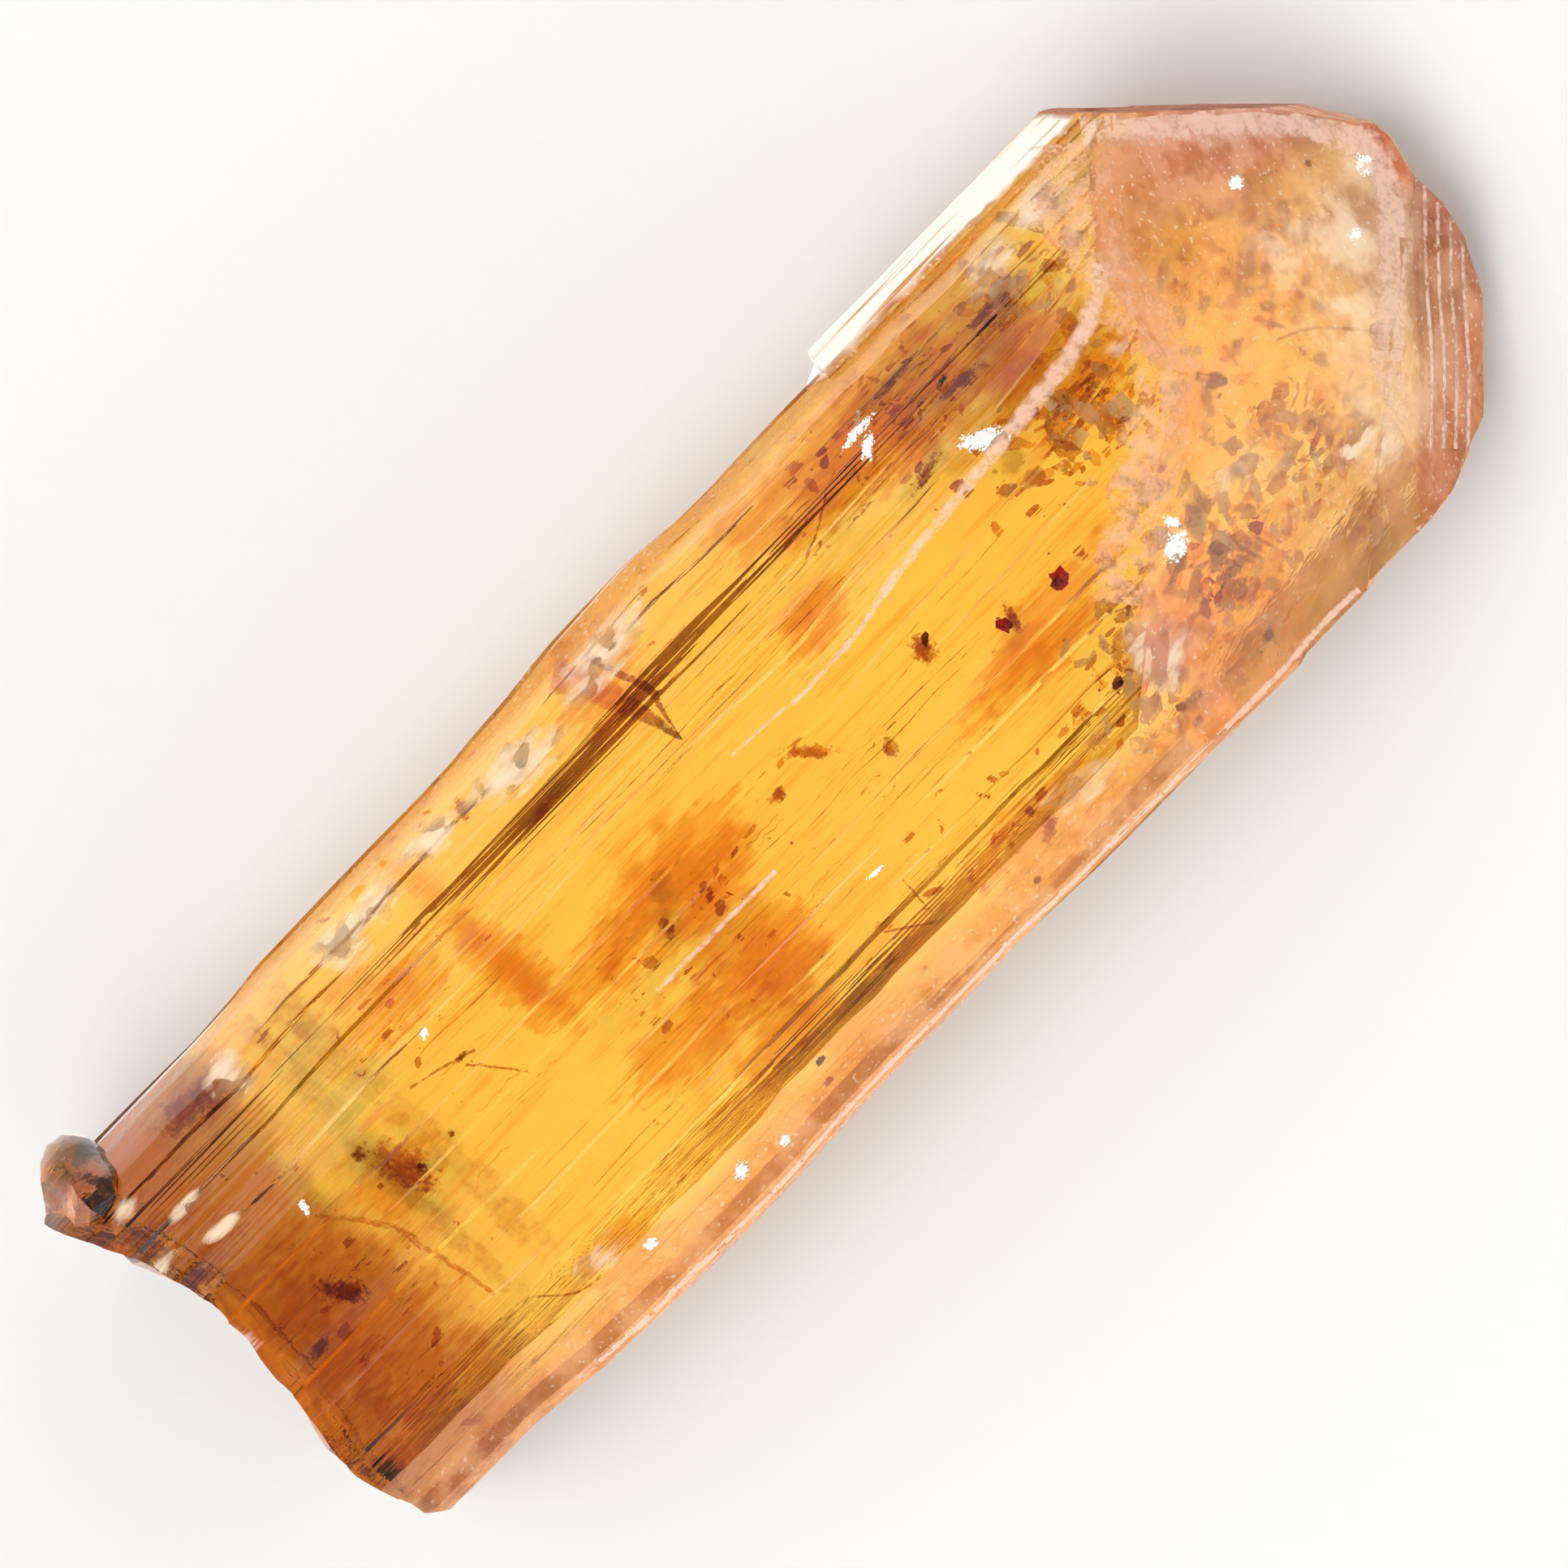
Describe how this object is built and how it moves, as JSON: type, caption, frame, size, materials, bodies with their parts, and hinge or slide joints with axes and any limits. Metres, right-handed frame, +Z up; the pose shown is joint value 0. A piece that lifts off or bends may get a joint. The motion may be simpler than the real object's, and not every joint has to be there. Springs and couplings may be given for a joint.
{
  "type": "topaz crystal",
  "caption": "Clear orange topaz crystal: a striated prism with sloping termination faces, a raised side layer and a broken end, lying on a flat prism face.",
  "frame": {"origin": "under the middle of the crystal, on the surface that it lies on", "axes": "+X along the prism towards the grown termination, +Y across it towards the raised side layer, +Z up out of the broad front"},
  "size_m": [0.0358, 0.0118, 0.009],
  "materials": {
    "topaz": "clear orange stone with frosted, pinkish end faces and fine lengthwise striations"
  },
  "bodies": {
    "root": {"topaz_crystal": "topaz"}
  },
  "joints": []
}
